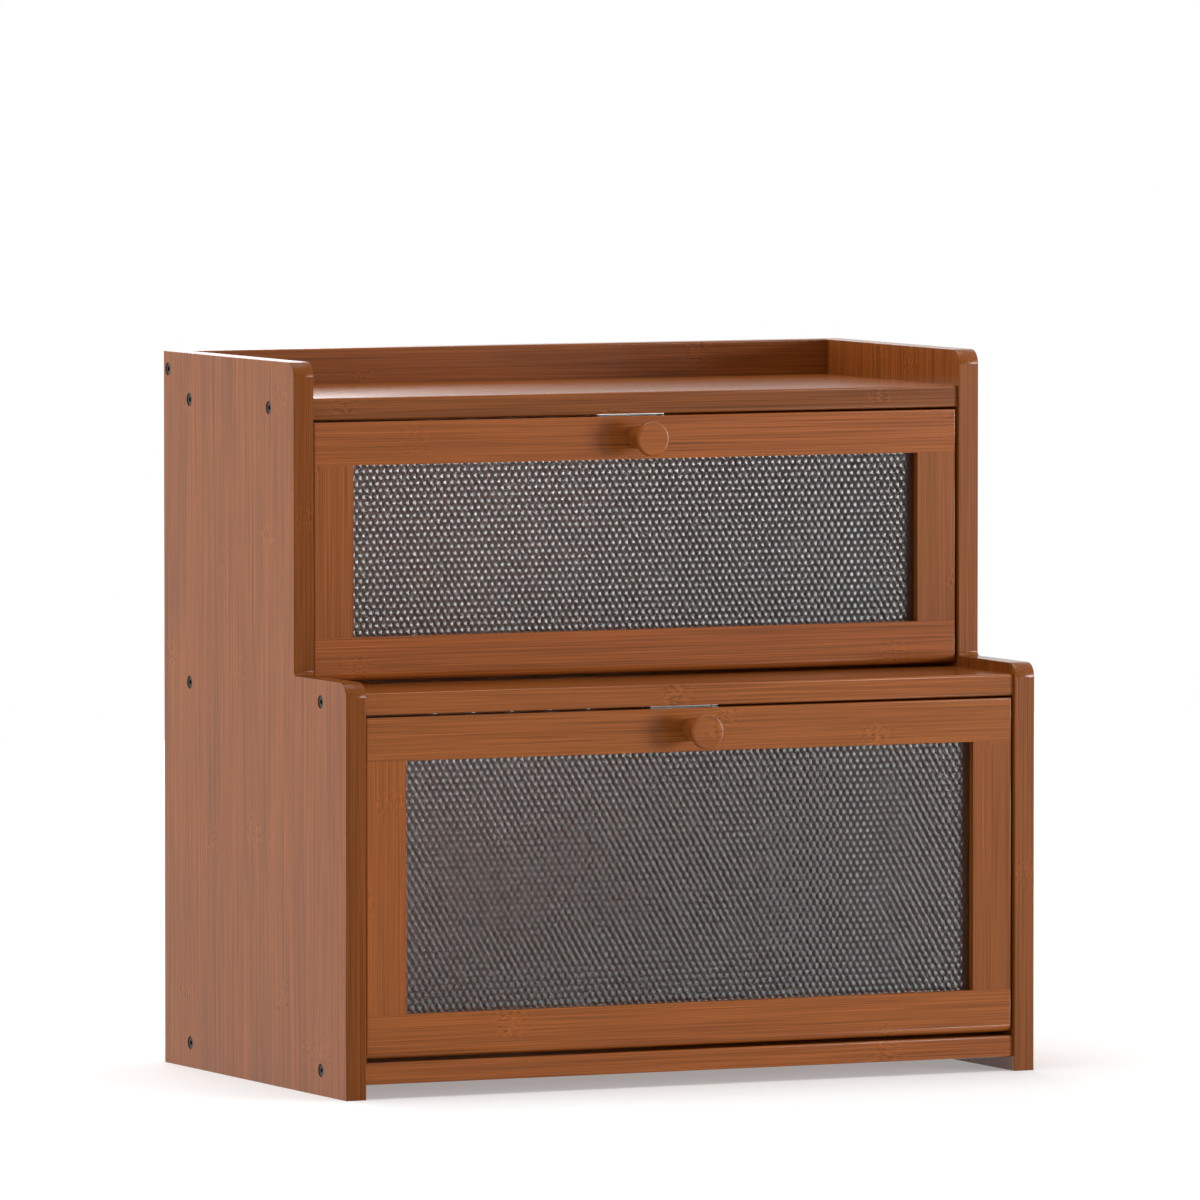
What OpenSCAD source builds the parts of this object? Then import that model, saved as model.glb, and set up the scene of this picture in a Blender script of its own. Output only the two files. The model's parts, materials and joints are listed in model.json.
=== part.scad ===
// Two-tier bamboo bread box. A stepped carcass holds two compartments, one above and behind
// the other. Each is closed by a framed door with a clear embossed pane, which folds down on
// two pins at its foot and is held shut by a magnetic catch under the board above it.
//
// X runs to the right, Y to the back and Z up. The origin lies on the counter, under the
// middle of the bounding box, which the lower knob and the carcass's back set from front to back.

/* [Carcass] */
// Overall width across the side panels
body_w = 420; // [330:1:520]
// Depth of the side panels at the counter
body_d = 250; // [200:1:320]
// Height of the side panels
body_h = 400; // [330:1:500]
// Distance from the lower front back to the upper front
step_d = 70; // [50:1:90]
// Height of the side panels' lower shoulder
shoulder_z = 228; // [185:1:280]
// Thickness of the side panels and the boards
board_t = 12; // [9:0.5:18]
// Height of the bottom board above the counter
foot_gap = 8; // [4:0.5:20]
// Height of the shoulder above the middle board
shoulder_lip = 6; // [3:0.5:15]
// Height of the rim round the top board
rim_h = 20; // [14:0.5:40]
// Depth of the rabbet in the top board that seats the back rim
rim_seat_d = 2; // [1:0.5:4]
// Distance from the side panels' fronts back to the boards and doors
front_recess = 2; // [0.5:0.5:6]
// Radius of the side panels' outer front corners
corner_r = 8; // [3:0.5:14]
// Radius in the side panels' inner corner at the step
inner_corner_r = 2.5; // [1:0.5:8]
// Radius on the exposed long edges of boards and doors
edge_r = 1; // [0.4:0.1:2]

/* [Back panels] */
// Thickness of the back panels
back_t = 4; // [3:0.5:6]
// Distance from the back panels to the rear of the side panels
back_inset = 6; // [4:0.5:12]
// Depth of the grooves that hold the back panels
back_groove_d = 4; // [2:0.5:4.5]
// Gap between a back panel and each wall of its groove
back_slack = 0.15; // [0.05:0.05:0.4]
// Radius of an air hole
vent_r = 4; // [2:0.5:8]
// Number of air holes in each back panel
vent_count = 5; // [1:1:9]
// Distance between air holes
vent_pitch = 24; // [18:1:32]
// Distance from the board above down to the air holes
vent_drop = 14; // [13:1:40]

/* [Carcass screws] */
// Radius of a screw's head
screw_head_r = 3.5; // [2.5:0.1:4.2]
// Radius of a screw's shank
screw_shank_r = 2; // [1.4:0.1:2.4]
// Length of a screw
screw_length = 40; // [30:1:50]
// Height of the straight rim round a screw's head
screw_rim_h = 0.8; // [0.5:0.1:1.5]
// Depth of the screw's head below the side panel's face
screw_sink = 0.4; // [0.1:0.1:1]
// Distance across the flats of the hexagon socket
socket_flats = 2.5; // [1.5:0.1:3]
// Depth of the hexagon socket
socket_d = 1.8; // [1:0.1:2.5]
// Gap between a screw and its hole
screw_slack = 0.15; // [0.05:0.05:0.3]
// Distance from the rear to the boards' rear screws
rear_screw_inset = 36; // [24:1:60]
// Distance from a front edge back to the screw behind it
front_screw_inset = 34; // [24:1:60]

/* [Doors] */
// Thickness of a door's frame
door_t = 12; // [10:0.5:16]
// Height of the top and bottom rails
rail_h = 24; // [18:0.5:36]
// Width of the stiles
stile_w = 24; // [20:0.5:36]
// Gap between a door and each side panel
door_side_gap = 1; // [0.5:0.1:2]
// Gap between a door and the board above it
door_top_gap = 1.3; // [0.8:0.1:3]
// Gap between a door and the board below it
door_foot_gap = 2; // [1.5:0.1:4]
// Radius on the two long edges at a door's foot
door_foot_r = 4; // [3:0.5:5]
// Height of the hinge pins above a door's foot
pivot_rise = 6; // [5:0.5:7]
// Radius of a hinge pin
pin_r = 2.5; // [1.5:0.1:3]
// Length of a hinge pin inside the bottom rail
pin_in_rail = 14; // [10:1:24]
// Length of a hinge pin inside the side panel
pin_in_side = 6.5; // [4:0.5:7.5]
// Gap between a hinge pin and its hole in the side panel
pin_running_slack = 0.08; // [0.02:0.01:0.1]
// Radius of a dowel between a rail and a stile
dowel_r = 2.5; // [1.5:0.1:3]
// Length of a dowel
dowel_length = 20; // [12:1:22]
// Gap between a glued pin or dowel and its hole
glue_slack = 0.03; // [0.01:0.01:0.1]

/* [Panes] */
// Thickness of a pane
pane_t = 2; // [1.5:0.1:4]
// Distance from a door's front face back to its pane
pane_setback = 5; // [3:0.5:6]
// Depth of the grooves that hold a pane
pane_groove_d = 5; // [3:0.5:6]
// Gap between a pane and each wall of its groove
pane_slack = 0.15; // [0.05:0.05:0.4]

/* [Knobs] */
// Radius of a knob's head
knob_head_r = 9.75; // [7:0.25:13]
// Distance from a door's front face to a knob's front
knob_reach = 20; // [16:0.5:24]
// Thickness of a knob's head
knob_head_t = 5.5; // [5:0.25:10]
// Radius on the front edge of a knob's head
knob_front_r = 1.25; // [0.5:0.25:1.5]
// Radius on the back edge of a knob's head
knob_back_r = 3; // [1:0.25:3.25]
// Radius of a knob's foot on the door
knob_foot_r = 6.5; // [6.5:0.25:9]
// Radius of a knob's waist
knob_waist_r = 6; // [4:0.25:6.25]
// Radius of the knob screw's shank
knob_screw_r = 2; // [1.5:0.1:2.5]
// Radius of the knob screw's head
knob_screw_head_r = 3.6; // [3:0.1:3.8]
// Height of the knob screw's head
knob_screw_head_h = 2; // [1.2:0.1:2.4]
// Length of the knob screw inside the knob
knob_screw_grip = 12; // [8:0.5:14]

/* [Catches] */
// Distance from a door's front face back to the front of the catch's plate
catch_plate_recess = 11; // [3:0.5:11.5]
// Distance from the catch's case out to each end of its plate
catch_plate_overhang = 3; // [0:0.5:10]
// Gap between the catch's plate and the top of a closed door
catch_plate_gap = 0.4; // [0.3:0.05:0.5]
// Thickness of the walls beside the magnet in a catch's case
case_wall_t = 2.4; // [1.2:0.1:4]
// Thickness of the case's floor under the magnet
case_floor_t = 1.9; // [1:0.1:3]
// Thickness of the case's wall behind the magnet
case_back_t = 4.4; // [1.5:0.1:6]
// Width of each of the case's ears
ear_w = 8; // [6:0.5:12]
// Thickness of the case's ears
ear_t = 3; // [2:0.5:4]
// Distance from a door's inner face back to the catch's case
catch_setback = 3; // [2.5:0.1:5]
// Width of the magnet and its pole plates
magnet_w = 16; // [12:0.5:18]
// Thickness of the magnet
magnet_t = 3.2; // [2:0.1:3.6]
// Thickness of a pole plate
pole_t = 1.2; // [0.8:0.1:1.4]
// Depth of the magnet from front to back
magnet_d = 9; // [6:0.5:10]
// Gap round the magnet and its pole plates in the case
catch_slack = 0.1; // [0.05:0.05:0.3]
// Width of a door's strike plate
strike_w = 36; // [32:0.5:46]
// Height of a door's strike plate
strike_h = 7.2; // [6:0.1:7.4]
// Thickness of a door's strike plate
strike_t = 1; // [0.6:0.1:1.5]
// Distance between the strike plate's screws
strike_screw_pitch = 27; // [26:0.5:30]
// Radius of a small screw's shank
small_screw_r = 1.3; // [1:0.1:1.4]
// Radius of a small screw's head
small_head_r = 2.3; // [1.8:0.1:2.6]
// Height of a small screw's head
small_head_h = 1.2; // [0.8:0.1:1.4]
// Length of a small screw inside the wood
small_screw_grip = 8; // [5:0.5:8.5]

/* [Hidden] */
$fn = 72;
// Extra length that carries a cut clear through a face
cut = 1;

// Left to right
inner_w = body_w - 2 * board_t;
door_w = inner_w - 2 * door_side_gap;
window_w = door_w - 2 * stile_w;

// Front to back. The lower knob stands in front of the side panels and is part of the depth
knob_proud = knob_reach - front_recess;
overall_d = body_d + knob_proud;
front_y = knob_proud - overall_d / 2;
rear_y = front_y + body_d;
upper_front_y = front_y + step_d;
back_y = rear_y - back_inset - back_t;

// Boards, from the counter up
bottom_z = foot_gap;
middle_z = shoulder_z - shoulder_lip - board_t;
top_z = body_h - rim_h - board_t;
rim_foot_z = body_h - rim_h - rim_seat_d;

// A bay is one compartment: the Y of its door's front face, its floor and its ceiling
lower_bay = [front_y + front_recess, bottom_z + board_t, middle_z];
upper_bay = [upper_front_y + front_recess, middle_z + board_t, top_z];
function face_y(bay) = bay[0];
function floor_z(bay) = bay[1];
function ceiling_z(bay) = bay[2];
function door_h(bay) = ceiling_z(bay) - floor_z(bay) - door_foot_gap - door_top_gap;

// Screws of the side panels, as [y, z]. Each board has two at each end and the back rim has one
rim_screws = [[rear_y - board_t / 2, body_h - rim_h / 2]];
top_screws = board_screws(upper_front_y, top_z);
middle_screws = board_screws(front_y, middle_z);
bottom_screws = board_screws(front_y, bottom_z);
function board_screws(first_y, z) =
    [for (y = [first_y + front_screw_inset, rear_y - rear_screw_inset]) [y, z + board_t / 2]];
side_screws = concat(rim_screws, top_screws, middle_screws, bottom_screws);

// Small parts. The knob screw's head is sunk in the door, so the strike plate may lie over it
knob_z_drop = rail_h / 2;
head_slack = 0.3;
knob_screw_sunk = knob_screw_head_h + head_slack;
knob_stem_h = knob_reach - knob_head_t;
knob_waist_in = knob_foot_r - knob_waist_r;
knob_waist_curve = (pow(knob_stem_h / 2, 2) + pow(knob_waist_in, 2)) / (2 * knob_waist_in);
catch_plate_t = door_top_gap - catch_plate_gap;
pole_reach = catch_setback - strike_t;
strike_drop = 0.3;
screw_tip_h = 3;
magnet_rise = strike_drop + door_top_gap + strike_h / 2;
pole_d = magnet_d + pole_reach;
cavity_w = magnet_w + 2 * catch_slack;
cavity_d = magnet_d + catch_slack;
cavity_h = magnet_t + 2 * pole_t + 2 * catch_slack;
case_block_w = cavity_w + 2 * case_wall_t;
case_w = case_block_w + 2 * ear_w;
case_d = cavity_d + case_back_t;
case_h = magnet_rise + cavity_h / 2 + case_floor_t;
ear_corner_r = 1.5;
cross_w = 0.8;
cross_span = 0.75;
pin_chamfer = 0.5;

wood = "#9a5f3c";
dark_wood = "#8c5436";
ply = "#a8714c";
black_steel = "#1d1d1f";
bright_steel = "#b9bcc0";
acrylic = [0.62, 0.63, 0.65, 0.55];
case_plastic = "#d9d5cf";
ferrite = "#3b3b3d";

// ---- Shared shapes ----

// Cutter that rounds a profile's corner at the origin, where the material lies towards +x and +y
module corner_cutter(r) {
    difference() {
        translate([-cut, -cut]) square(r + cut);
        translate([r, r]) circle(r);
    }
}

// Rectangle with its own radius at each corner, counted from the lower left round to the upper left
module rounded_rectangle(w, h, radii) {
    corners = [[0, 0], [w, 0], [w, h], [0, h]];
    difference() {
        square([w, h]);
        for (i = [0:3])
            if (radii[i] > 0) translate(corners[i]) rotate(90 * i) corner_cutter(radii[i]);
    }
}

// Profile drawn in Y and Z, extruded along X about the middle
module along_x(length) {
    rotate([90, 0, 90]) linear_extrude(height = length, center = true) children();
}

// Turns a solid that points up so that it points to the front, the back, or in from a side
module to_front() { rotate([90, 0, 0]) children(); }
module to_back() { rotate([-90, 0, 0]) children(); }
module inward(side) { rotate([0, -90 * side, 0]) children(); }

// ---- Screws, pins and dowels ----

// Countersunk wood screw pointing up from its head, or its hole when slack is given
module wood_screw(slack = 0) {
    head_r = screw_head_r + slack;
    shank_r = screw_shank_r + slack;
    rim_top = screw_sink + screw_rim_h;
    neck = rim_top + screw_head_r - screw_shank_r;
    first = slack > 0 ? -cut : screw_sink;
    last = screw_sink + screw_length + slack;
    difference() {
        rotate_extrude()
            polygon([[0, first], [head_r, first], [head_r, rim_top], [shank_r, neck],
                     [shank_r, last - screw_tip_h], [0, last]]);
        if (slack == 0)
            translate([0, 0, first - cut])
                cylinder(r = socket_flats / sqrt(3), h = socket_d + cut, $fn = 6);
    }
}

// Screws at the listed [y, z] places of one side panel, or their holes when slack is given
module screws_at(side, places, slack = 0) {
    for (place = places)
        translate([side * body_w / 2, place[0], place[1]]) inward(side) wood_screw(slack);
}

module board_screw_holes(places) {
    for (side = [-1, 1]) screws_at(side, places, screw_slack);
}

// Pan-head screw pointing up, with the underside of its head on z = 0
module pan_screw(shank_r, length, head_r, head_h) {
    difference() {
        union() {
            translate([0, 0, -head_h]) cylinder(r = head_r, h = head_h);
            cylinder(r = shank_r, h = length);
        }
        for (turn = [0, 90])
            rotate(turn)
                translate([0, 0, -head_h])
                    cube([2 * cross_span * head_r, cross_w, head_h], center = true);
    }
}

module small_screw(through) {
    pan_screw(small_screw_r, through + small_screw_grip, small_head_r, small_head_h);
}

module small_screw_hole(depth) {
    translate([0, 0, -cut])
        cylinder(r = small_screw_r + glue_slack, h = depth + cut + screw_slack);
}

// ---- Carcass ----

module side_outline() {
    difference() {
        union() {
            translate([front_y, 0]) square([body_d, shoulder_z]);
            translate([upper_front_y, 0]) square([body_d - step_d, body_h]);
            translate([upper_front_y, shoulder_z])
                difference() {
                    translate([-inner_corner_r, -cut])
                        square([inner_corner_r + cut, inner_corner_r + cut]);
                    translate([-inner_corner_r, inner_corner_r]) circle(inner_corner_r);
                }
        }
        translate([front_y, shoulder_z]) rotate(-90) corner_cutter(corner_r);
        translate([upper_front_y, body_h]) rotate(-90) corner_cutter(corner_r);
    }
}

// Blind holes in one side panel for the pins of both doors
module hinge_pin_holes(side) {
    for (bay = [lower_bay, upper_bay])
        on_pivot(bay)
            translate([side * (inner_w / 2 - cut), 0, 0]) inward(-side)
                cylinder(r = pin_r + pin_running_slack, h = pin_in_side + cut + screw_slack);
}

module side_panel(side) {
    color(dark_wood) difference() {
        translate([side * (body_w - board_t) / 2, 0, 0]) along_x(board_t) side_outline();
        for (bay = [lower_bay, upper_bay]) back_pocket(bay);
        screws_at(side, side_screws, screw_slack);
        hinge_pin_holes(side);
    }
}

// Board between the side panels, with its front edges eased
module board(first_y, z) {
    translate([0, first_y, z]) along_x(inner_w)
        rounded_rectangle(rear_y - first_y, board_t, [edge_r, 0, 0, edge_r]);
}

module top_board() {
    color(wood) difference() {
        board(face_y(upper_bay), top_z);
        translate([0, rear_y - board_t, rim_foot_z]) along_x(inner_w + 2 * cut)
            square([board_t + cut, rim_seat_d + cut]);
        back_pocket(upper_bay);
        board_screw_holes(top_screws);
        catch_screw_holes(upper_bay);
    }
}

module middle_board() {
    color(wood) difference() {
        board(face_y(lower_bay), middle_z);
        for (bay = [lower_bay, upper_bay]) back_pocket(bay);
        board_screw_holes(middle_screws);
        catch_screw_holes(lower_bay);
    }
}

module bottom_board() {
    color(wood) difference() {
        board(face_y(lower_bay), bottom_z);
        back_pocket(lower_bay);
        board_screw_holes(bottom_screws);
    }
}

module back_rim() {
    color(dark_wood) difference() {
        translate([0, rear_y - board_t, rim_foot_z]) along_x(inner_w)
            rounded_rectangle(board_t, body_h - rim_foot_z, [0, 0, edge_r, edge_r]);
        board_screw_holes(rim_screws);
    }
}

// Space of a bay's back panel, grown by slack on every side
module back_blank(bay, slack) {
    width = inner_w + 2 * (back_groove_d - back_slack + slack);
    height = ceiling_z(bay) - floor_z(bay) + 2 * (back_groove_d - back_slack + slack);
    translate([-width / 2, back_y - slack, (floor_z(bay) + ceiling_z(bay) - height) / 2])
        cube([width, back_t + 2 * slack, height]);
}

module back_pocket(bay) { back_blank(bay, back_slack); }

module back_panel(bay) {
    first_x = -vent_pitch * (vent_count - 1) / 2;
    color(ply) difference() {
        back_blank(bay, 0);
        for (i = [0 : vent_count - 1])
            translate([first_x + i * vent_pitch, back_y - cut, ceiling_z(bay) - vent_drop])
                to_back() cylinder(r = vent_r, h = back_t + 2 * cut);
    }
}

module upper_back_panel() { back_panel(upper_bay); }
module lower_back_panel() { back_panel(lower_bay); }

module left_side() { side_panel(-1); }
module right_side() { side_panel(1); }
module left_side_screws() { color(black_steel) screws_at(-1, side_screws); }
module right_side_screws() { color(black_steel) screws_at(1, side_screws); }

// ---- Magnetic catches, under the board above each door ----

// Frame of a catch: x = 0 at its middle, y = 0 on its case's front, z = 0 on the board above
module on_catch(bay) {
    translate([0, face_y(bay) + door_t + catch_setback, ceiling_z(bay)]) children();
}

module catch_screw_places() {
    for (side = [-1, 1])
        translate([side * (case_block_w + ear_w) / 2, case_d / 2, -catch_plate_t - ear_t]) children();
}

module catch_screw_holes(bay) {
    on_catch(bay) catch_screw_places() small_screw_hole(ear_t + catch_plate_t + small_screw_grip);
}

// Steel plate between the case and the board, which reaches forward over the door's top edge
module catch_plate(bay) {
    width = case_w + 2 * catch_plate_overhang;
    front = catch_plate_recess - door_t - catch_setback;
    color(bright_steel) on_catch(bay) difference() {
        translate([-width / 2, front, -catch_plate_t])
            linear_extrude(catch_plate_t)
                rounded_rectangle(width, case_d - front, ear_corner_r * [1, 1, 1, 1]);
        catch_screw_places() small_screw_hole(ear_t + catch_plate_t + cut);
    }
}

module catch_case(bay) {
    block_h = case_h - catch_plate_t;
    color(case_plastic) on_catch(bay) difference() {
        union() {
            translate([-case_w / 2, 0, -catch_plate_t - ear_t])
                linear_extrude(ear_t)
                    rounded_rectangle(case_w, case_d, ear_corner_r * [1, 1, 1, 1]);
            translate([-case_block_w / 2, 0, -case_h]) cube([case_block_w, case_d, block_h]);
        }
        translate([-cavity_w / 2, -cut, -magnet_rise - cavity_h / 2])
            cube([cavity_w, cavity_d + cut, cavity_h]);
        catch_screw_places() small_screw_hole(ear_t);
    }
}

module catch_magnet(bay) {
    color(ferrite) on_catch(bay)
        translate([-magnet_w / 2, 0, -magnet_rise - magnet_t / 2])
            cube([magnet_w, magnet_d, magnet_t]);
}

// Two steel plates that carry the magnet's pull forward to the strike plate
module catch_poles(bay) {
    color(bright_steel) on_catch(bay)
        for (z = [magnet_t / 2, -magnet_t / 2 - pole_t])
            translate([-magnet_w / 2, -pole_reach, z - magnet_rise])
                cube([magnet_w, pole_d, pole_t]);
}

module catch_screws(bay) {
    color(bright_steel) on_catch(bay) catch_screw_places() small_screw(ear_t + catch_plate_t);
}

module upper_catch_plate() { catch_plate(upper_bay); }
module upper_catch_case() { catch_case(upper_bay); }
module upper_catch_magnet() { catch_magnet(upper_bay); }
module upper_catch_poles() { catch_poles(upper_bay); }
module upper_catch_screws() { catch_screws(upper_bay); }
module lower_catch_plate() { catch_plate(lower_bay); }
module lower_catch_case() { catch_case(lower_bay); }
module lower_catch_magnet() { catch_magnet(lower_bay); }
module lower_catch_poles() { catch_poles(lower_bay); }
module lower_catch_screws() { catch_screws(lower_bay); }

// ---- Doors ----

// Frame of a door: x = 0 at its middle, y = 0 on its front face, z = 0 at its foot
module on_door(bay) {
    translate([0, face_y(bay), floor_z(bay) + door_foot_gap]) children();
}

// Frame of a door's hinge axis, which runs along X through the middle of its thickness
module on_pivot(bay) {
    on_door(bay) translate([0, door_t / 2, pivot_rise]) children();
}

// Whole door as one block, with its four upright edges eased
module door_block(bay) {
    linear_extrude(door_h(bay))
        translate([-door_w / 2, 0]) rounded_rectangle(door_w, door_t, edge_r * [1, 1, 1, 1]);
}

// Space of a door's pane, grown by slack on every side
module pane_blank(bay, slack) {
    reach = pane_groove_d - pane_slack + slack;
    translate([-window_w / 2 - reach, pane_setback - slack, rail_h - reach])
        cube([window_w + 2 * reach, pane_t + 2 * slack, door_h(bay) - 2 * rail_h + 2 * reach]);
}

module pane_pocket(bay) { pane_blank(bay, pane_slack); }

// Two dowels stand in each of the four joints between rails and stiles, spread evenly over
// the part of the stile that the pane's groove leaves whole
module door_dowel_set(bay, slack = 0) {
    length = dowel_length + 2 * slack;
    whole_w = stile_w - pane_groove_d;
    for (side = [-1, 1], share = [1 / 4, 3 / 4], z = [rail_h, door_h(bay) - rail_h])
        translate([side * (door_w / 2 - share * whole_w), door_t / 2, z - length / 2])
            cylinder(r = dowel_r + slack, h = length);
}

module rail_pin_holes() {
    for (side = [-1, 1])
        translate([side * (door_w / 2 + cut), door_t / 2, pivot_rise]) inward(side)
            cylinder(r = pin_r + glue_slack, h = pin_in_rail + cut + screw_slack);
}

module strike_screw_places(bay) {
    for (side = [-1, 1])
        translate([side * strike_screw_pitch / 2, door_t + strike_t,
                   door_h(bay) - strike_drop - strike_h / 2])
            children();
}

module door_top_rail(bay) {
    color(wood) on_door(bay) difference() {
        intersection() {
            translate([0, 0, door_h(bay) - rail_h]) along_x(door_w)
                rounded_rectangle(door_t, rail_h, [0, 0, edge_r, edge_r]);
            door_block(bay);
        }
        pane_pocket(bay);
        door_dowel_set(bay, glue_slack);
        translate([0, -cut, door_h(bay) - knob_z_drop]) to_back()
            cylinder(r = knob_screw_r + screw_slack, h = door_t + 2 * cut);
        translate([0, door_t + cut, door_h(bay) - knob_z_drop]) to_front()
            cylinder(r = knob_screw_head_r + head_slack, h = knob_screw_sunk + cut);
        strike_screw_places(bay) to_front() small_screw_hole(strike_t + small_screw_grip);
    }
}

module door_bottom_rail(bay) {
    color(wood) on_door(bay) difference() {
        intersection() {
            along_x(door_w)
                rounded_rectangle(door_t, rail_h, [door_foot_r, door_foot_r, 0, 0]);
            door_block(bay);
        }
        pane_pocket(bay);
        door_dowel_set(bay, glue_slack);
        rail_pin_holes();
    }
}

module door_stile(bay, side) {
    color(wood) on_door(bay) difference() {
        intersection() {
            translate([side > 0 ? door_w / 2 - stile_w : -door_w / 2, -cut, rail_h])
                cube([stile_w, door_t + 2 * cut, door_h(bay) - 2 * rail_h]);
            door_block(bay);
        }
        pane_pocket(bay);
        door_dowel_set(bay, glue_slack);
    }
}

module door_dowels(bay) { color(ply) on_door(bay) door_dowel_set(bay); }

module door_pane(bay) { color(acrylic) on_door(bay) pane_blank(bay, 0); }

// Turned knob on the middle of the top rail, bored from behind for its screw
module door_knob(bay) {
    color(wood) on_door(bay) translate([0, 0, door_h(bay) - knob_z_drop]) to_front()
        difference() {
            rotate_extrude() {
                difference() {
                    square([knob_foot_r, knob_stem_h]);
                    translate([knob_waist_r + knob_waist_curve, knob_stem_h / 2])
                        circle(knob_waist_curve);
                }
                translate([0, knob_stem_h])
                    rounded_rectangle(knob_head_r, knob_head_t, [0, knob_back_r, knob_front_r, 0]);
            }
            translate([0, 0, -cut])
                cylinder(r = knob_screw_r + glue_slack, h = knob_screw_grip + cut + screw_slack);
        }
}

module door_knob_screw(bay) {
    color(bright_steel) on_door(bay)
        translate([0, door_t - knob_screw_sunk, door_h(bay) - knob_z_drop]) to_front()
            pan_screw(knob_screw_r, door_t - knob_screw_sunk + knob_screw_grip,
                      knob_screw_head_r, knob_screw_head_h);
}

// Steel plate on the door's inner face that the catch holds
module door_strike(bay) {
    color(bright_steel) on_door(bay) difference() {
        translate([-strike_w / 2, door_t, door_h(bay) - strike_drop - strike_h])
            cube([strike_w, strike_t, strike_h]);
        strike_screw_places(bay) to_front() small_screw_hole(strike_t + cut);
    }
}

module door_strike_screws(bay) {
    color(bright_steel) on_door(bay) strike_screw_places(bay) to_front() small_screw(strike_t);
}

// Steel pins, fast in the bottom rail's ends, that turn in the side panels
module door_hinge_pins(bay) {
    length = pin_in_rail + door_side_gap + pin_in_side;
    color(bright_steel) on_pivot(bay)
        for (side = [-1, 1])
            translate([side * (door_w / 2 - pin_in_rail), 0, 0]) inward(-side)
                rotate_extrude()
                    polygon([[0, 0], [pin_r - pin_chamfer, 0], [pin_r, pin_chamfer],
                             [pin_r, length - pin_chamfer], [pin_r - pin_chamfer, length],
                             [0, length]]);
}

module upper_door_top_rail() { door_top_rail(upper_bay); }
module upper_door_bottom_rail() { door_bottom_rail(upper_bay); }
module upper_door_left_stile() { door_stile(upper_bay, -1); }
module upper_door_right_stile() { door_stile(upper_bay, 1); }
module upper_door_dowels() { door_dowels(upper_bay); }
module upper_door_pane() { door_pane(upper_bay); }
module upper_door_knob() { door_knob(upper_bay); }
module upper_door_knob_screw() { door_knob_screw(upper_bay); }
module upper_door_strike() { door_strike(upper_bay); }
module upper_door_strike_screws() { door_strike_screws(upper_bay); }
module upper_door_hinge_pins() { door_hinge_pins(upper_bay); }
module lower_door_top_rail() { door_top_rail(lower_bay); }
module lower_door_bottom_rail() { door_bottom_rail(lower_bay); }
module lower_door_left_stile() { door_stile(lower_bay, -1); }
module lower_door_right_stile() { door_stile(lower_bay, 1); }
module lower_door_dowels() { door_dowels(lower_bay); }
module lower_door_pane() { door_pane(lower_bay); }
module lower_door_knob() { door_knob(lower_bay); }
module lower_door_knob_screw() { door_knob_screw(lower_bay); }
module lower_door_strike() { door_strike(lower_bay); }
module lower_door_strike_screws() { door_strike_screws(lower_bay); }
module lower_door_hinge_pins() { door_hinge_pins(lower_bay); }

// ---- Assembly ----

left_side();
right_side();
top_board();
middle_board();
bottom_board();
back_rim();
upper_back_panel();
lower_back_panel();
left_side_screws();
right_side_screws();
upper_catch_plate();
upper_catch_case();
upper_catch_magnet();
upper_catch_poles();
upper_catch_screws();
lower_catch_plate();
lower_catch_case();
lower_catch_magnet();
lower_catch_poles();
lower_catch_screws();
upper_door_top_rail();
upper_door_bottom_rail();
upper_door_left_stile();
upper_door_right_stile();
upper_door_dowels();
upper_door_pane();
upper_door_knob();
upper_door_knob_screw();
upper_door_strike();
upper_door_strike_screws();
upper_door_hinge_pins();
lower_door_top_rail();
lower_door_bottom_rail();
lower_door_left_stile();
lower_door_right_stile();
lower_door_dowels();
lower_door_pane();
lower_door_knob();
lower_door_knob_screw();
lower_door_strike();
lower_door_strike_screws();
lower_door_hinge_pins();
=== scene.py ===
"""Looks of a two-tier bamboo bread box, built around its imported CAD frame.

The row frame has X to the right, Y to the back and Z up, in metres. Wooden pieces are copies of
the CAD solids with their long edges eased. The panes are remodelled with their embossed relief.
"""

import json
import math

import bmesh
import bpy
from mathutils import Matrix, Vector

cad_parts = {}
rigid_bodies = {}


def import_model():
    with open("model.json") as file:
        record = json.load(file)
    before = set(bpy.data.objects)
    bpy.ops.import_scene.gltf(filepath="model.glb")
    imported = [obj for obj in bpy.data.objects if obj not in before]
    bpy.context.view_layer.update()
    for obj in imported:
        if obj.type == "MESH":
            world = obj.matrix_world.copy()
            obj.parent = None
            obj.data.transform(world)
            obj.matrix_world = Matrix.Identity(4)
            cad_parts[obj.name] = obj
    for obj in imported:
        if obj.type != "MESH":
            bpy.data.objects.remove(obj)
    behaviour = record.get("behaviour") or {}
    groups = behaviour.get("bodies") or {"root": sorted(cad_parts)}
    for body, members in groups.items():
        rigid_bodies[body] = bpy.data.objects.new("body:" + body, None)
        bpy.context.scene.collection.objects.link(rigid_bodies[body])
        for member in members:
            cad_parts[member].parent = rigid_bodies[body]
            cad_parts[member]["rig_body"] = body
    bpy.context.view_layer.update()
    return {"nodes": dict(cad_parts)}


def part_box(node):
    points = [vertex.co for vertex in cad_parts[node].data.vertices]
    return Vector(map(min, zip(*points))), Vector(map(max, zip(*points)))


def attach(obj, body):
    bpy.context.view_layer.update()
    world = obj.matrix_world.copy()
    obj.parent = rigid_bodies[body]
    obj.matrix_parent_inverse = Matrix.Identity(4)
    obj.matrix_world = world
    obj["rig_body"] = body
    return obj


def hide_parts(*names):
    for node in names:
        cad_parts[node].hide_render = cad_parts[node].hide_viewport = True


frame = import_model()

MM = 0.001
WHITE = (1, 1, 1, 1)
X, Y, Z = range(3)


# ---- Camera ----

CAMERA_PLACE = (-3.12265, -6.64980, 0.70101)
CAMERA_YAW = math.radians(25.1333)
CAMERA_PITCH = math.radians(3.42)
CAMERA_LENS = 395.54
CAMERA_SENSOR = 36.0
CAMERA_CLIP = (0.1, 60.0)


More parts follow.
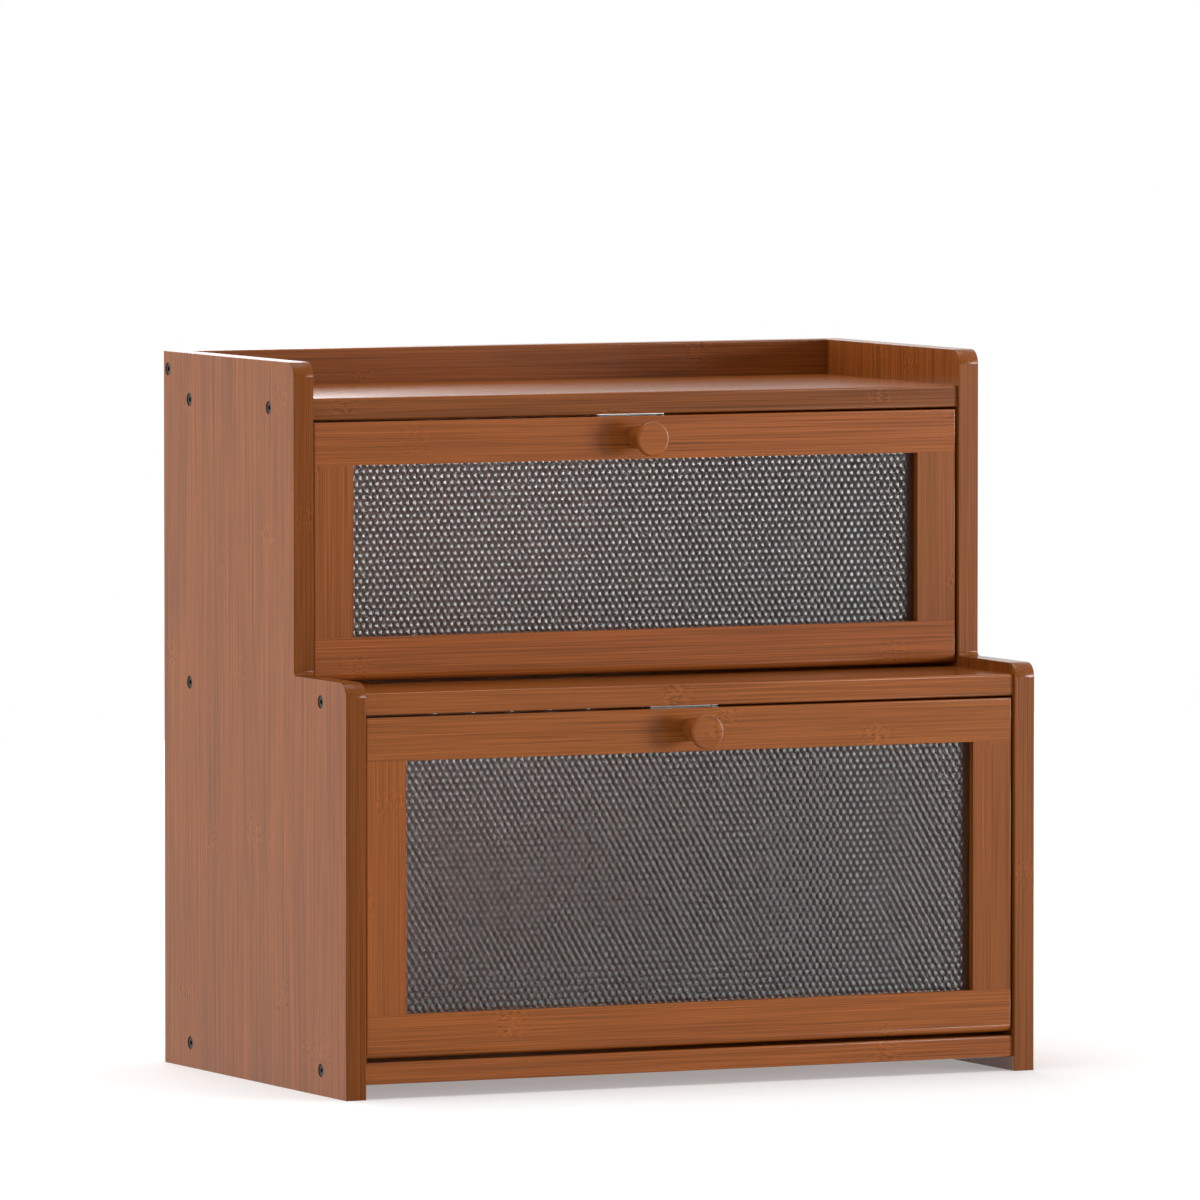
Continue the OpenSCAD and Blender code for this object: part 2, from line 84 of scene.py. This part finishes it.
def make_camera():
    data = bpy.data.cameras.new("camera")
    data.lens = CAMERA_LENS
    data.sensor_width = CAMERA_SENSOR
    data.sensor_fit = "HORIZONTAL"
    data.clip_start, data.clip_end = CAMERA_CLIP
    camera = bpy.data.objects.new("camera", data)
    camera.location = CAMERA_PLACE
    camera.rotation_euler = (math.pi / 2 - CAMERA_PITCH, 0, -CAMERA_YAW)
    bpy.context.scene.collection.objects.link(camera)
    bpy.context.scene.camera = camera


# ---- Node trees ----

class Tree:
    """The node tree of a material or of the world, with short calls for the nodes used below.
    A value given to a call is a number or colour, or the socket that it comes from."""

    def __init__(self, owner):
        owner.use_nodes = True
        self.owner = owner
        self.nodes = owner.node_tree.nodes
        self.links = owner.node_tree.links

    def put(self, value, socket):
        if isinstance(value, bpy.types.NodeSocket):
            self.links.new(value, socket)
        else:
            socket.default_value = value

    def node(self, kind, inputs, **settings):
        """A new node. inputs has a value for each name or number of a socket."""
        node = self.nodes.new(kind)
        for name, setting in settings.items():
            setattr(node, name, setting)
        for name, value in inputs.items():
            self.put(value, node.inputs[name])
        return node

    def maths(self, operation, *values, clamp=False):
        return self.node("ShaderNodeMath", dict(enumerate(values)), operation=operation,
                         use_clamp=clamp).outputs[0]

    def varied(self, value, spread):
        """A noise's value around 0, as wide as the spread."""
        return self.maths("MULTIPLY", self.maths("SUBTRACT", value, 0.5), spread)

    def vector(self, *xyz):
        return self.node("ShaderNodeCombineXYZ", dict(enumerate(xyz))).outputs[0]

    def coordinates(self, kind):
        return self.nodes.new("ShaderNodeTexCoord").outputs[kind]

    def split(self, kind, value):
        return list(self.node(kind, {0: value}).outputs)

    def noise(self, vector, scale=1.0, detail=2.0, roughness=0.5):
        return self.node("ShaderNodeTexNoise", {"Vector": vector, "Scale": scale, "Detail": detail,
                                                "Roughness": roughness}).outputs["Fac"]

    def span(self, value, low, high, out_low=0.0, out_high=1.0, curve="SMOOTHSTEP"):
        """The value's way from low to high, as one from out_low to out_high."""
        return self.node("ShaderNodeMapRange",
                         {"Value": value, "From Min": low, "From Max": high, "To Min": out_low,
                          "To Max": out_high}, interpolation_type=curve).outputs["Result"]

    def ramp(self, value, stops):
        node = self.node("ShaderNodeValToRGB", {0: value})
        elements = node.color_ramp.elements
        while len(elements) < len(stops):
            elements.new(0.5)
        for element, (position, colour) in zip(elements, stops):
            element.position = position
            element.color = (*colour, 1)
        return node.outputs["Color"]

    def mix(self, share, a, b):
        """A mix of two colours, by the colour sockets of the Mix node."""
        return self.node("ShaderNodeMix", {0: share, 6: a, 7: b}, data_type="RGBA").outputs[2]


class Surface(Tree):
    """A material with one Principled shader."""

    def __init__(self, name):
        super().__init__(bpy.data.materials.new(name))
        self.shader = self.nodes["Principled BSDF"]

    def bump(self, height, distance, strength):
        node = self.node("ShaderNodeBump",
                         {"Distance": distance, "Strength": strength, "Height": height})
        self.links.new(node.outputs["Normal"], self.shader.inputs["Normal"])

    def finish(self, **values):
        for name, value in values.items():
            self.put(value, self.shader.inputs[name.replace("_", " ")])
        return self.owner


# ---- Light, floor and background ----

LAMP_AIM = Vector((0, 0, 0.2))
# Azimuth from the front (-Y) towards +X, elevation, distance, width, height and radiance
LAMPS = {
    "key": (45, -2, 6.0, 1.8, 2.33, 33.0),
    "left": (-96, 8, 2.5, 2.0, 1.6, 2.95),
    "top": (0, 90, 2.0, 1.5, 1.5, 3.2),
    "back": (180, 25, 3.0, 2.4, 1.6, 3.2),
}
WORLD_FILL = 0.41
BACKGROUND = 1.0
# The dim patch of the studio, its direction, and the cosines of the angles to its two rims
DIM_PATCH = 0.2
DIM_AZIMUTH = math.radians(-22)
DIM_INSIDE, DIM_OUTSIDE = 0.9, 0.55
FLOOR_HALF = 2.5
FLOOR_CELLS = 10
FLOOR_PAPER = (0.8, 0.8, 0.8, 1)
# The floor's glow near the object and far from it, and the distances for both
FLOOR_GLOW, FLOOR_GLOW_FAR = 0.3, 0.68
GLOW_NEAR, GLOW_FAR = 0.4, 3.0


def area_light(name, azimuth, elevation, distance, width, height, radiance):
    """A soft box that faces the object."""
    data = bpy.data.lights.new(name, "AREA")
    data.shape = "RECTANGLE"
    data.size = width
    data.size_y = height
    data.energy = radiance * math.pi * width * height
    lamp = bpy.data.objects.new(name, data)
    azimuth, elevation = math.radians(azimuth), math.radians(elevation)
    way = Vector((math.sin(azimuth) * math.cos(elevation),
                  -math.cos(azimuth) * math.cos(elevation), math.sin(elevation)))
    lamp.location = LAMP_AIM + distance * way
    lamp.rotation_euler = way.to_track_quat("Z", "Y").to_euler()
    lamp.visible_camera = False
    lamp.visible_transmission = False
    bpy.context.scene.collection.objects.link(lamp)


def seen_directly(t):
    """1 for camera, glossy and transmission rays, and 0 for the rays that light a surface."""
    path = t.nodes.new("ShaderNodeLightPath").outputs
    seen = t.maths("MAXIMUM", path["Is Camera Ray"], path["Is Glossy Ray"])
    return t.maths("MAXIMUM", seen, path["Is Transmission Ray"])


def make_world():
    """An even fill. The camera sees it white, and gloss and glass show a white studio with a dim
    patch where the photographer stands."""
    world = bpy.data.worlds.new("studio")
    t = Tree(world)
    t.nodes.clear()
    fill = t.node("ShaderNodeBackground", {"Color": WHITE, "Strength": WORLD_FILL})
    patch = t.node("ShaderNodeVectorMath",
                   {0: t.coordinates("Generated"),
                    1: (math.sin(DIM_AZIMUTH), -math.cos(DIM_AZIMUTH), 0)},
                   operation="DOT_PRODUCT").outputs["Value"]
    studio = t.span(patch, DIM_INSIDE, DIM_OUTSIDE, DIM_PATCH, BACKGROUND)
    to_camera = t.nodes.new("ShaderNodeLightPath").outputs["Is Camera Ray"]
    shown = t.node("ShaderNodeBackground",
                   {"Color": WHITE, "Strength": t.maths("MAXIMUM", studio, to_camera)})
    mix = t.node("ShaderNodeMixShader",
                 {0: seen_directly(t), 1: fill.outputs[0], 2: shown.outputs[0]})
    t.node("ShaderNodeOutputWorld", {"Surface": mix.outputs[0]})
    bpy.context.scene.world = world


def make_floor():
    """A pale floor that shows white and keeps the object's shadow. Its glow makes up for the
    lamps' falling light away from the object."""
    bm = bmesh.new()
    bmesh.ops.create_grid(bm, x_segments=FLOOR_CELLS, y_segments=FLOOR_CELLS, size=FLOOR_HALF)
    mesh = bpy.data.meshes.new("floor")
    bm.to_mesh(mesh)
    bm.free()
    floor = bpy.data.objects.new("floor", mesh)
    bpy.context.scene.collection.objects.link(floor)
    floor.visible_glossy = False
    t = Tree(bpy.data.materials.new("floor"))
    t.nodes.clear()
    paper = t.node("ShaderNodeBsdfDiffuse", {"Color": FLOOR_PAPER})
    reach = t.node("ShaderNodeVectorMath", {0: t.coordinates("Object")},
                   operation="LENGTH").outputs["Value"]
    level = t.span(reach, GLOW_NEAR, GLOW_FAR, FLOOR_GLOW, FLOOR_GLOW_FAR, curve="LINEAR")
    glow = t.node("ShaderNodeEmission",
                  {"Color": WHITE, "Strength": t.maths("MULTIPLY", seen_directly(t), level)})
    add = t.node("ShaderNodeAddShader", {0: paper.outputs[0], 1: glow.outputs[0]})
    t.node("ShaderNodeOutputMaterial", {"Surface": add.outputs[0]})
    mesh.materials.append(t.owner)


# ---- Materials ----

def linear(r, g, b):
    """A colour given in screen values from 0 to 255, as Blender's linear values."""
    def one(v):
        v /= 255
        return v / 12.92 if v <= 0.04045 else ((v + 0.055) / 1.055) ** 2.4
    return tuple(one(v) for v in (r, g, b))


def scaled(colour, by):
    return tuple(min(1.0, c * by) for c in colour)


RED_BROWN = (0.27, 0.0745, 0.014)
# The wood's darkest and lightest tones, and how a yellower strip differs
DARKEST, LIGHTEST = 0.5, 1.55
YELLOWER = (0.98, 1.05, 1.05)
LAMELLA_W = 19.0 * MM
SEAM_W = 0.35 * MM
SEAM_SHARE = 0.16
# Streaks: cycles per metre along the grain and across it, detail and roughness
HAIR = (12.0, 1900.0, 2.0, 0.6)
FINE = (8.0, 900.0, 1.0, 0.6)
BAND = (4.0, 260.0, 1.0, 0.6)
BROAD = (4.0, 40.0, 1.0, 0.6)
FLECK = (330.0, 650.0, 1.0, 0.5)
# A strip's joints: the distance between two, the half lengths of a joint's core and of its whole
# flecked patch, and how ragged the patch's ends are
NODE_PITCH = 330 * MM
JOINT_CORE, JOINT_END = 1 * MM, 14 * MM
JOINT_RAGGED = 30 * MM
# The noise levels between which a light and a dark fleck fade in, and how strong they are
LIGHT_FLECK, DARK_FLECK = (0.52, 0.62), (0.44, 0.34)
FLECK_SHARE = 0.38
# The faintest joint's share of that, and the hues of strips with the faintest and the strongest
FAINTEST_JOINT = 0.25
JOINT_HUES = (0.1, 0.9)
VARNISH_ROUGHNESS, VARNISH_SPREAD = 0.21, 0.08
HAIR_RISE, HAIR_STRENGTH = 0.02 * MM, 0.4
# Steps between two pieces' places in the noise, along the grain and across it, where the first
# place across it is, and the step between two strips' places
SEED_ALONG, SEED_ACROSS, SEED_START = 0.731, 0.0137, 2.0
STRIP_STEP = 0.37

# Figures: fineness of the fibres, then how much hair, fine, band and broad streaks and the
# strips' own tones show, then the varnish's gloss
SIDE_BOARD = (1.4, (2.2, 1.05, 0.1, 0.13, 0.06), 0.19)
WIDE_BOARD = (1.2, (1.2, 1.0, 0.15, 0.2, 0.08), 0.22)
NARROW_BOARD = (1.5, (1.6, 0.75, 0.12, 0.22, 0.08), 0.22)
TURNED = (1.05, (0.7, 0.45, 0.1, 0.2, 0.05), 0.22)


def bamboo(name, tone, grain, across, seed, figure, gloss=None):
    """Stained bamboo under satin varnish: strips glued side by side, fibres along the grain and a
    patch of short crossed fibres where each strip's culm had a joint. grain and across are X, Y
    or Z. gloss, if given, replaces the figure's own."""
    t = Surface(name)
    xyz = t.split("ShaderNodeSeparateXYZ", t.coordinates("Object"))
    fineness, shares, own_gloss = figure
    a = t.maths("ADD", xyz[grain], SEED_ALONG * seed)
    c = t.maths("ADD", xyz[across], SEED_ACROSS * seed + SEED_START)
    d = xyz[X + Y + Z - grain - across]

    def fibres(along_grain, along, cross, detail, roughness):
        """Noise stretched along the grain."""
        cross *= fineness
        place = t.vector(t.maths("MULTIPLY", along_grain, along), t.maths("MULTIPLY", c, cross),
                         t.maths("MULTIPLY", d, cross))
        return t.noise(place, detail=detail, roughness=roughness)

    # Strips, each with a tone, a hue and a joint's place of its own
    u = t.maths("DIVIDE", c, LAMELLA_W)
    strip = t.maths("FLOOR", u)
    white = t.node("ShaderNodeTexWhiteNoise", {"Vector": t.vector(strip, float(seed), 0.5)})
    tone_random, place_random, hue_random = t.split("ShaderNodeSeparateColor",
                                                    white.outputs["Color"])
    f = t.maths("FRACT", u)
    edge = t.maths("MULTIPLY", t.maths("MINIMUM", f, t.maths("SUBTRACT", 1.0, f)), LAMELLA_W)
    seam = t.span(edge, 0.0, SEAM_W, 1.0, 0.0)
    shifted = t.maths("ADD", a, t.maths("MULTIPLY", strip, STRIP_STEP))
    hair, fine, band = (fibres(shifted, *streak) for streak in (HAIR, FINE, BAND))
    broad = fibres(a, *BROAD)
    # Joints
    along = t.maths("FRACT", t.maths("ADD", t.maths("DIVIDE", a, NODE_PITCH), place_random))
    gap = t.maths("MULTIPLY", t.maths("ABSOLUTE", t.maths("SUBTRACT", along, 0.5)), NODE_PITCH)
    ragged = t.maths("ADD", gap, t.varied(fine, JOINT_RAGGED))
    joint = t.maths("MULTIPLY", t.span(ragged, JOINT_CORE, JOINT_END, 1.0, 0.0),
                    t.span(hue_random, *JOINT_HUES, FAINTEST_JOINT, 1.0))
    fleck = fibres(a, *FLECK)
    flecks = t.maths("SUBTRACT", t.span(fleck, *LIGHT_FLECK), t.span(fleck, *DARK_FLECK))
    # Sum of the tones, 0.5 in the middle
    value = 0.5
    for part, share in zip((hair, fine, band, broad, tone_random), shares):
        value = t.maths("ADD", value, t.varied(part, share))
    value = t.maths("ADD", value,
                    t.maths("MULTIPLY", t.maths("MULTIPLY", joint, flecks), FLECK_SHARE))
    value = t.maths("SUBTRACT", value, t.maths("MULTIPLY", seam, SEAM_SHARE), clamp=True)
    reds = [scaled(tone, DARKEST), tone, scaled(tone, LIGHTEST)]
    yellows = [[part * by for part, by in zip(red, YELLOWER)] for red in reds]
    red, yellow = (t.ramp(value, list(zip((0.0, 0.5, 1.0), hues))) for hues in (reds, yellows))
    t.bump(hair, HAIR_RISE, HAIR_STRENGTH)
    return t.finish(Base_Color=t.mix(hue_random, red, yellow),
                    Roughness=t.maths("ADD", VARNISH_ROUGHNESS, t.varied(fine, VARNISH_SPREAD)),
                    Specular_IOR_Level=gloss or own_gloss)


# The noise levels between which a colour or a roughness goes from one end to the other
NOISE_RANGE = (0.3, 0.7)
PLAIN_RISE, PLAIN_STRENGTH = 0.01 * MM, 0.5
PLAIN_ROUGHNESS_SPREAD = 0.2
# How many times broader than its fine grain a plain surface's broad patches are
BROAD_TO_FINE = 20


def plain(name, colour, roughness, metallic=0.0, grain=900.0, variation=0.12):
    """A moulded, cast or plated surface with a fine even grain in colour and gloss."""
    t = Surface(name)
    coordinates = t.coordinates("Object")
    fine = t.noise(coordinates, scale=grain)
    broad = t.noise(coordinates, scale=grain / BROAD_TO_FINE, detail=1.0)
    value = t.maths("MULTIPLY", t.maths("ADD", fine, broad), 0.5)
    tints = (scaled(colour, 1 - variation), scaled(colour, 1 + variation))
    tint = t.ramp(value, list(zip(NOISE_RANGE, tints)))
    t.bump(fine, PLAIN_RISE, PLAIN_STRENGTH)
    return t.finish(Base_Color=tint, Metallic=metallic,
                    Roughness=t.maths("ADD", roughness, t.varied(broad, PLAIN_ROUGHNESS_SPREAD)))


CLEAR_TINTS = ((0.8, 0.82, 0.85), (0.86, 0.88, 0.91))
CLEAR_ROUGHNESS = (0.21, 0.25)
CLEAR_IOR = 1.38
HAZE_SCALE = 140.0


def clear_acrylic(name):
    """A clear plastic with a slight uneven haze."""
    t = Surface(name)
    haze = t.noise(t.coordinates("Object"), scale=HAZE_SCALE)
    return t.finish(Base_Color=t.ramp(haze, list(zip(NOISE_RANGE, CLEAR_TINTS))),
                    Roughness=t.span(haze, *NOISE_RANGE, *CLEAR_ROUGHNESS),
                    Transmission_Weight=1.0, IOR=CLEAR_IOR)


# ---- Pieces ----

def add_piece(name, mesh, node, materials):
    """Puts a mesh in a CAD node's place, on the same body."""
    piece = bpy.data.objects.new(name, mesh)
    bpy.context.scene.collection.objects.link(piece)
    for material in materials:
        mesh.materials.append(material)
    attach(piece, frame["nodes"][node]["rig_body"])
    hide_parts(node)


def give_material(node, material):
    """Gives a CAD node that keeps its own shape its finish."""
    mesh = frame["nodes"][node].data
    mesh.materials.clear()
    mesh.materials.append(material)


def groups_of(edges):
    """Sets of edges that hang together."""
    left, groups = set(edges), []
    while left:
        todo, group = [left.pop()], set()
        while todo:
            edge = todo.pop()
            group.add(edge)
            for vert in edge.verts:
                for other in vert.link_edges:
                    if other in left:
                        left.remove(other)
                        todo.append(other)
        groups.append(group)
    return groups


WELD = 0.002 * MM
# Faces that meet at less than FLAT_ANGLE are one face, edges above SHARP_ANGLE are rounded, and
# the shading breaks above CREASE_ANGLE
FLAT_ANGLE = math.radians(0.6)
SHARP_ANGLE = math.radians(50)
CREASE_ANGLE = math.radians(35)
# A rim of up to this span belongs to a hole
HOLE_SPAN = 9 * MM
# The mean width up to which a face is a strip of a curved surface
STRIP_W = 1.2 * MM


def eased(node, name, width):
    """A copy of a CAD solid with its sharp outer edges rounded. The rims of its holes stay
    sharp."""
    bm = bmesh.new()
    bm.from_mesh(frame["nodes"][node].data)
    bmesh.ops.remove_doubles(bm, verts=bm.verts, dist=WELD)
    bmesh.ops.dissolve_limit(bm, angle_limit=FLAT_ANGLE, verts=bm.verts, edges=bm.edges)
    sharp = [e for e in bm.edges if len(e.link_faces) == 2 and e.is_convex
             and e.calc_face_angle(0) > SHARP_ANGLE]
    rounded = set()
    for group in groups_of(sharp):
        points = [v.co for e in group for v in e.verts]
        spans = [max(p[i] for p in points) - min(p[i] for p in points) for i in (X, Y, Z)]
        if max(spans) > HOLE_SPAN:
            rounded |= group
    bmesh.ops.bevel(bm, geom=[e for e in sharp if e in rounded], offset=width, segments=2,
                    profile=0.5, affect="EDGES", clamp_overlap=False)
    # Only narrow strips, which stand for curved surfaces, are shaded smooth
    for face in bm.faces:
        longest = max(e.calc_length() for e in face.edges)
        face.smooth = face.calc_area() / longest < STRIP_W
    for edge in bm.edges:
        edge.smooth = len(edge.link_faces) == 2 and edge.calc_face_angle(0) < CREASE_ANGLE
    bmesh.ops.triangulate(bm, faces=[f for f in bm.faces if len(f.verts) > 4])
    mesh = bpy.data.meshes.new(name)
    bm.to_mesh(mesh)
    bm.free()
    return mesh


# Node, tone, grain, direction across it, easing of the edges in millimetres, figure and slot
CARCASS_WOOD = [
    ("left_side", 1.0, Z, Y, 0.3, SIDE_BOARD, "bamboo_side"),
    ("right_side", 1.0, Z, Y, 0.3, SIDE_BOARD, "bamboo_side"),
    ("top_board", 0.95, X, Y, 0.4, NARROW_BOARD, "bamboo_board"),
    ("middle_board", 0.92, X, Y, 0.15, NARROW_BOARD, "bamboo_board"),
    ("bottom_board", 0.95, X, Y, 0.4, NARROW_BOARD, "bamboo_board"),
    ("back_rim", 0.8, X, Z, 0.4, NARROW_BOARD, "bamboo_board"),
    ("upper_back_panel", 0.9, X, Z, 0.15, WIDE_BOARD, "bamboo_ply"),
    ("lower_back_panel", 0.9, X, Z, 0.15, WIDE_BOARD, "bamboo_ply"),
]
DOOR_WOOD = [("top_rail", X, Z, "bamboo_rail"), ("bottom_rail", X, Z, "bamboo_rail"),
             ("left_stile", Z, X, "bamboo_stile"), ("right_stile", Z, X, "bamboo_stile")]
# Tones of a door's pieces, in the order of DOOR_WOOD
DOOR_TONES = {"upper_door": (0.95, 1.04, 0.93, 0.82), "lower_door": (0.95, 1.0, 1.03, 0.82)}
DOOR_EASING = 0.08
# Tone and gloss of the front and rear edges of some boards, which count as edges where a face's
# normal has less than EDGE_NORMAL in the board's thin direction
EDGES = {"left_side": (0.68, 0.1), "right_side": (0.79, 0.22), "top_board": (0.62, 0.2)}
EDGE_NORMAL = 0.7
EDGE_SEED = 50
KNOB_SEED = 40
KNOB_TONE = 0.95


def make_wood():
    rows = CARCASS_WOOD + [
        (f"{door}_{part}", tone, grain, across, DOOR_EASING, NARROW_BOARD, slot_name)
        for door, tones in DOOR_TONES.items()
        for tone, (part, grain, across, slot_name) in zip(tones, DOOR_WOOD)]
    for seed, (node, tone, grain, across, easing, figure, slot_name) in enumerate(rows, 1):
        materials = [bamboo(f"bamboo_{node}", scaled(RED_BROWN, tone), grain, across, seed, figure)]
        mesh = eased(node, f"{node}_wood", easing * MM)
        if node in EDGES:
            edge_tone, gloss = EDGES[node]
            thin = X + Y + Z - grain - across
            materials.append(bamboo(f"bamboo_{node}_edge", scaled(RED_BROWN, edge_tone), grain,
                                    thin, seed + EDGE_SEED, NARROW_BOARD, gloss))
            for polygon in mesh.polygons:
                polygon.material_index = int(abs(polygon.normal[thin]) < EDGE_NORMAL)
        add_piece(f"{node}_wood", mesh, node, materials)


def make_knobs():
    for seed, door in enumerate(DOOR_TONES, KNOB_SEED):
        node = f"{door}_knob"
        give_material(node, bamboo(f"bamboo_{node}", scaled(RED_BROWN, KNOB_TONE), X, Z, seed,
                                   TURNED))


# The relief's distance between two peaks of a row, and a peak's height
BUMP_PITCH = 4.1 * MM
BUMP_RISE = 0.4 * MM
# The share of a pitch, or of a step along a column, that stays free at a pane's ends
END_MARGIN = 0.2


def steps_between(low, high, first, step):
    """The heights first + n * step that lie between low and high with a margin, each with n."""
    margin = END_MARGIN * step
    n = math.ceil((low + margin - first) / step)
    inner = []
    while first + n * step < high - margin:
        inner.append((first + n * step, n))
        n += 1
    return inner


def embossed_pane(node, name):
    """A pane whose front is covered with low six-sided pyramids in staggered rows."""
    low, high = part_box(node)
    side = BUMP_PITCH / math.sqrt(3)
    valley = low.y + BUMP_RISE
    middle = (low.x + high.x) / 2
    half = math.floor((high.x - low.x) / BUMP_PITCH - END_MARGIN)
    places = [(low.x, None)] + [(middle + i * BUMP_PITCH / 2, i) for i in range(-half, half + 1)]
    places.append((high.x, None))
    bm = bmesh.new()
    columns = []
    for x, i in places:
        column = [bm.verts.new((x, valley, low.z))]
        # Along a column, every third point is a pyramid's peak. Odd columns are half a step up
        if i is not None:
            odd = i % 2
            for z, n in steps_between(low.z, high.z, low.z + odd * side / 2, side):
                peak = (2 * n + odd) % 3 == 0
                column.append(bm.verts.new((x, low.y if peak else valley, z)))
        column.append(bm.verts.new((x, valley, high.z)))
        columns.append(column)
    # Triangles between each two columns, always from the lower of the next two points
    for left, right in zip(columns, columns[1:]):
        i = j = 0
        while i < len(left) - 1 or j < len(right) - 1:
            take_left = j == len(right) - 1 or (
                i < len(left) - 1 and left[i + 1].co.z <= right[j + 1].co.z)
            if take_left:
                bm.faces.new((left[i], right[j], left[i + 1]))
                i += 1
            else:
                bm.faces.new((left[i], right[j], right[j + 1]))
                j += 1
    back = [bm.verts.new((x, high.y, z)) for x, z in
            ((low.x, low.z), (high.x, low.z), (high.x, high.z), (low.x, high.z))]
    bm.faces.new(back[::-1])
    bm.faces.new([c[0] for c in reversed(columns)] + [back[0], back[1]])
    bm.faces.new([c[-1] for c in columns] + [back[2], back[3]])
    bm.faces.new(columns[0] + [back[3], back[0]])
    bm.faces.new(columns[-1][::-1] + [back[1], back[2]])
    bmesh.ops.recalc_face_normals(bm, faces=bm.faces)
    mesh = bpy.data.meshes.new(name)
    bm.to_mesh(mesh)
    bm.free()
    return mesh


def make_panes():
    material = clear_acrylic("clear_acrylic")
    for door in DOOR_TONES:
        node = f"{door}_pane"
        add_piece(f"{node}_relief", embossed_pane(node, f"{node}_relief"), node, [material])


def finish_small_parts():
    """The metal, plastic and dowels, whose CAD nodes keep their own shape."""
    finishes = {
        plain("black_steel", linear(44, 48, 46), 0.42, metallic=0.7): ["side_screws"],
        plain("steel", linear(186, 188, 190), 0.3, metallic=1.0): [
            "catch_poles", "catch_screws", "door_knob_screw", "door_strike",
            "door_strike_screws", "door_hinge_pins"],
        plain("bright_steel", linear(232, 225, 218), 0.4, metallic=1.0): ["catch_plate"],
        plain("ferrite", linear(58, 58, 60), 0.6, variation=0.3): ["catch_magnet"],
        plain("catch_plastic", linear(214, 206, 200), 0.42): ["catch_case"],
        plain("dowel_wood", linear(190, 150, 105), 0.6, grain=400.0): ["door_dowels"],
    }
    for material, parts in finishes.items():
        for part in parts:
            places = ("left", "right") if part == "side_screws" else ("upper", "lower")
            for place in places:
                give_material(f"{place}_{part}", material)


bpy.context.scene.view_settings.view_transform = "Standard"
make_camera()
make_world()
for lamp_name, lamp_values in LAMPS.items():
    area_light(lamp_name, *lamp_values)
make_floor()
make_wood()
make_knobs()
make_panes()
finish_small_parts()
